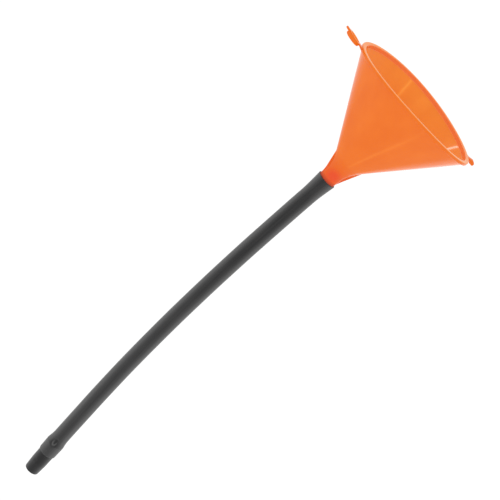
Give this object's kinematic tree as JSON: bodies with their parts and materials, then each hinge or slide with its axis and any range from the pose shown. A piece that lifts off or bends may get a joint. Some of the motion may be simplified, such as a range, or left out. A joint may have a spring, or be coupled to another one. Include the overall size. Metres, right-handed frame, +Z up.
{
  "type": "funnel",
  "caption": "Orange moulded fuel funnel with a flanged rim, a hang ring and a flexible black hose spout that ends in a tapered nozzle.",
  "frame": {"origin": "on the cone's axis, in the plane of the rim's underside, where a holder ring carries the funnel", "axes": "+Z up out of the mouth, square to the rim's top face; +X the way the spout curves; the small thumb tab stands 19 degrees round from +X towards +Y and the hang ring opposite it; +Y completes a right-handed frame"},
  "size_m": [0.1825, 0.1554, 0.5978],
  "materials": {
    "cone_plastic": "glossy moulded orange polyethylene, slightly translucent",
    "hose_rubber": "semi-matt black flexible hose",
    "nozzle_plastic": "semi-matt black moulded plastic"
  },
  "bodies": {
    "funnel": {"funnel_body": "cone_plastic", "hose_section_1": "hose_rubber"},
    "hose_2": {"hose_section_2": "hose_rubber"},
    "hose_3": {"hose_section_3": "hose_rubber"},
    "hose_4": {"hose_section_4": "hose_rubber"},
    "hose_5": {"hose_section_5": "hose_rubber", "nozzle": "nozzle_plastic"}
  },
  "joints": [
    {"name": "hose_bend_1", "type": "hinge", "parent": "funnel", "child": "hose_2", "pos_m": [0.0004, 0, -0.182], "axis": [0, 1, 0], "range_deg": [-25, 25], "stiffness_Nm_per_rad": 0.35, "springref_deg": -0.63},
    {"name": "hose_bend_2", "type": "hinge", "parent": "hose_2", "child": "hose_3", "pos_m": [0.0029, 0, -0.284], "axis": [1, 0, 0], "range_deg": [-30, 30], "stiffness_Nm_per_rad": 0.35},
    {"name": "hose_bend_3", "type": "hinge", "parent": "hose_3", "child": "hose_4", "pos_m": [0.0096, 0, -0.395], "axis": [0, 1, 0], "range_deg": [-30, 30], "stiffness_Nm_per_rad": 0.35, "springref_deg": -0.32},
    {"name": "hose_bend_4", "type": "hinge", "parent": "hose_4", "child": "hose_5", "pos_m": [0.0194, 0, -0.492], "axis": [1, 0, 0], "range_deg": [-25, 25], "stiffness_Nm_per_rad": 0.35}
  ]
}
